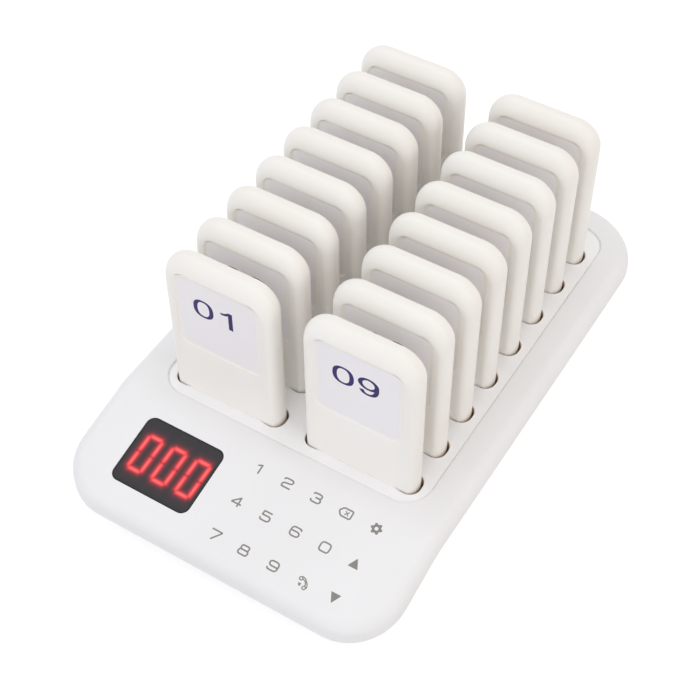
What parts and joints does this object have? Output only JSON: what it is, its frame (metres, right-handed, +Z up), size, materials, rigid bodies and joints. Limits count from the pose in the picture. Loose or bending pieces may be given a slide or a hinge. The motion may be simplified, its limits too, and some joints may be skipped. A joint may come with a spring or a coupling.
{
  "type": "guest pager system",
  "caption": "Low charging base with a sloping touch keypad, a small display window and two rows of upright rounded pagers standing in slots.",
  "frame": {"origin": "on the table, in the middle of the base's outline", "axes": "+X to the right, +Y to the back, +Z up; the keypad slopes down to the front on the -Y side"},
  "size_m": [0.164, 0.262, 0.1111],
  "materials": {
    "cover_plastic": "satin cool white",
    "tray_plastic": "satin warm white",
    "pan_plastic": "fine texture, white",
    "pager_plastic": "satin cream white",
    "smoked_window": "smoked, polished",
    "dark_plastic": "black",
    "rocker_plastic": "black, satin",
    "circuit_board": "green resist",
    "screw_steel": "zinc plated",
    "foot_rubber": "black"
  },
  "bodies": {
    "base": {"top_cover": "cover_plastic", "bottom_cover": "pan_plastic", "slot_tray": "tray_plastic", "display_window": "smoked_window", "display_module": "dark_plastic", "control_board": "circuit_board", "charging_boards": "circuit_board", "case_screws": "screw_steel", "rubber_feet": "foot_rubber", "power_socket": "dark_plastic", "switch_housing": "dark_plastic"},
    "rocker": {"switch_rocker": "rocker_plastic"},
    "pager_01": {"pager_01_front_cover": "pager_plastic", "pager_01_rear_cover": "pager_plastic", "pager_01_electronics": "circuit_board"},
    "pager_02": {"pager_02_front_cover": "pager_plastic", "pager_02_rear_cover": "pager_plastic", "pager_02_electronics": "circuit_board"},
    "pager_03": {"pager_03_front_cover": "pager_plastic", "pager_03_rear_cover": "pager_plastic", "pager_03_electronics": "circuit_board"},
    "pager_04": {"pager_04_front_cover": "pager_plastic", "pager_04_rear_cover": "pager_plastic", "pager_04_electronics": "circuit_board"},
    "pager_05": {"pager_05_front_cover": "pager_plastic", "pager_05_rear_cover": "pager_plastic", "pager_05_electronics": "circuit_board"},
    "pager_06": {"pager_06_front_cover": "pager_plastic", "pager_06_rear_cover": "pager_plastic", "pager_06_electronics": "circuit_board"},
    "pager_07": {"pager_07_front_cover": "pager_plastic", "pager_07_rear_cover": "pager_plastic", "pager_07_electronics": "circuit_board"},
    "pager_08": {"pager_08_front_cover": "pager_plastic", "pager_08_rear_cover": "pager_plastic", "pager_08_electronics": "circuit_board"},
    "pager_09": {"pager_09_front_cover": "pager_plastic", "pager_09_rear_cover": "pager_plastic", "pager_09_electronics": "circuit_board"},
    "pager_10": {"pager_10_front_cover": "pager_plastic", "pager_10_rear_cover": "pager_plastic", "pager_10_electronics": "circuit_board"},
    "pager_11": {"pager_11_front_cover": "pager_plastic", "pager_11_rear_cover": "pager_plastic", "pager_11_electronics": "circuit_board"},
    "pager_12": {"pager_12_front_cover": "pager_plastic", "pager_12_rear_cover": "pager_plastic", "pager_12_electronics": "circuit_board"},
    "pager_13": {"pager_13_front_cover": "pager_plastic", "pager_13_rear_cover": "pager_plastic", "pager_13_electronics": "circuit_board"},
    "pager_14": {"pager_14_front_cover": "pager_plastic", "pager_14_rear_cover": "pager_plastic", "pager_14_electronics": "circuit_board"},
    "pager_15": {"pager_15_front_cover": "pager_plastic", "pager_15_rear_cover": "pager_plastic", "pager_15_electronics": "circuit_board"},
    "pager_16": {"pager_16_front_cover": "pager_plastic", "pager_16_rear_cover": "pager_plastic", "pager_16_electronics": "circuit_board"}
  },
  "joints": [
    {"name": "rocker_tip", "type": "hinge", "parent": "base", "child": "rocker", "pos_m": [0.014, 0.1199, 0.0125], "axis": [0, 0, -1], "range_deg": [0, 16]},
    {"name": "pager_01_lift", "type": "slide", "parent": "base", "child": "pager_01", "axis": [0, 0, 1], "range_m": [0, 0.1]},
    {"name": "pager_02_lift", "type": "slide", "parent": "base", "child": "pager_02", "axis": [0, 0, 1], "range_m": [0, 0.1]},
    {"name": "pager_03_lift", "type": "slide", "parent": "base", "child": "pager_03", "axis": [0, 0, 1], "range_m": [0, 0.1]},
    {"name": "pager_04_lift", "type": "slide", "parent": "base", "child": "pager_04", "axis": [0, 0, 1], "range_m": [0, 0.1]},
    {"name": "pager_05_lift", "type": "slide", "parent": "base", "child": "pager_05", "axis": [0, 0, 1], "range_m": [0, 0.1]},
    {"name": "pager_06_lift", "type": "slide", "parent": "base", "child": "pager_06", "axis": [0, 0, 1], "range_m": [0, 0.1]},
    {"name": "pager_07_lift", "type": "slide", "parent": "base", "child": "pager_07", "axis": [0, 0, 1], "range_m": [0, 0.1]},
    {"name": "pager_08_lift", "type": "slide", "parent": "base", "child": "pager_08", "axis": [0, 0, 1], "range_m": [0, 0.1]},
    {"name": "pager_09_lift", "type": "slide", "parent": "base", "child": "pager_09", "axis": [0, 0, 1], "range_m": [0, 0.1]},
    {"name": "pager_10_lift", "type": "slide", "parent": "base", "child": "pager_10", "axis": [0, 0, 1], "range_m": [0, 0.1]},
    {"name": "pager_11_lift", "type": "slide", "parent": "base", "child": "pager_11", "axis": [0, 0, 1], "range_m": [0, 0.1]},
    {"name": "pager_12_lift", "type": "slide", "parent": "base", "child": "pager_12", "axis": [0, 0, 1], "range_m": [0, 0.1]},
    {"name": "pager_13_lift", "type": "slide", "parent": "base", "child": "pager_13", "axis": [0, 0, 1], "range_m": [0, 0.1]},
    {"name": "pager_14_lift", "type": "slide", "parent": "base", "child": "pager_14", "axis": [0, 0, 1], "range_m": [0, 0.1]},
    {"name": "pager_15_lift", "type": "slide", "parent": "base", "child": "pager_15", "axis": [0, 0, 1], "range_m": [0, 0.1]},
    {"name": "pager_16_lift", "type": "slide", "parent": "base", "child": "pager_16", "axis": [0, 0, 1], "range_m": [0, 0.1]}
  ]
}
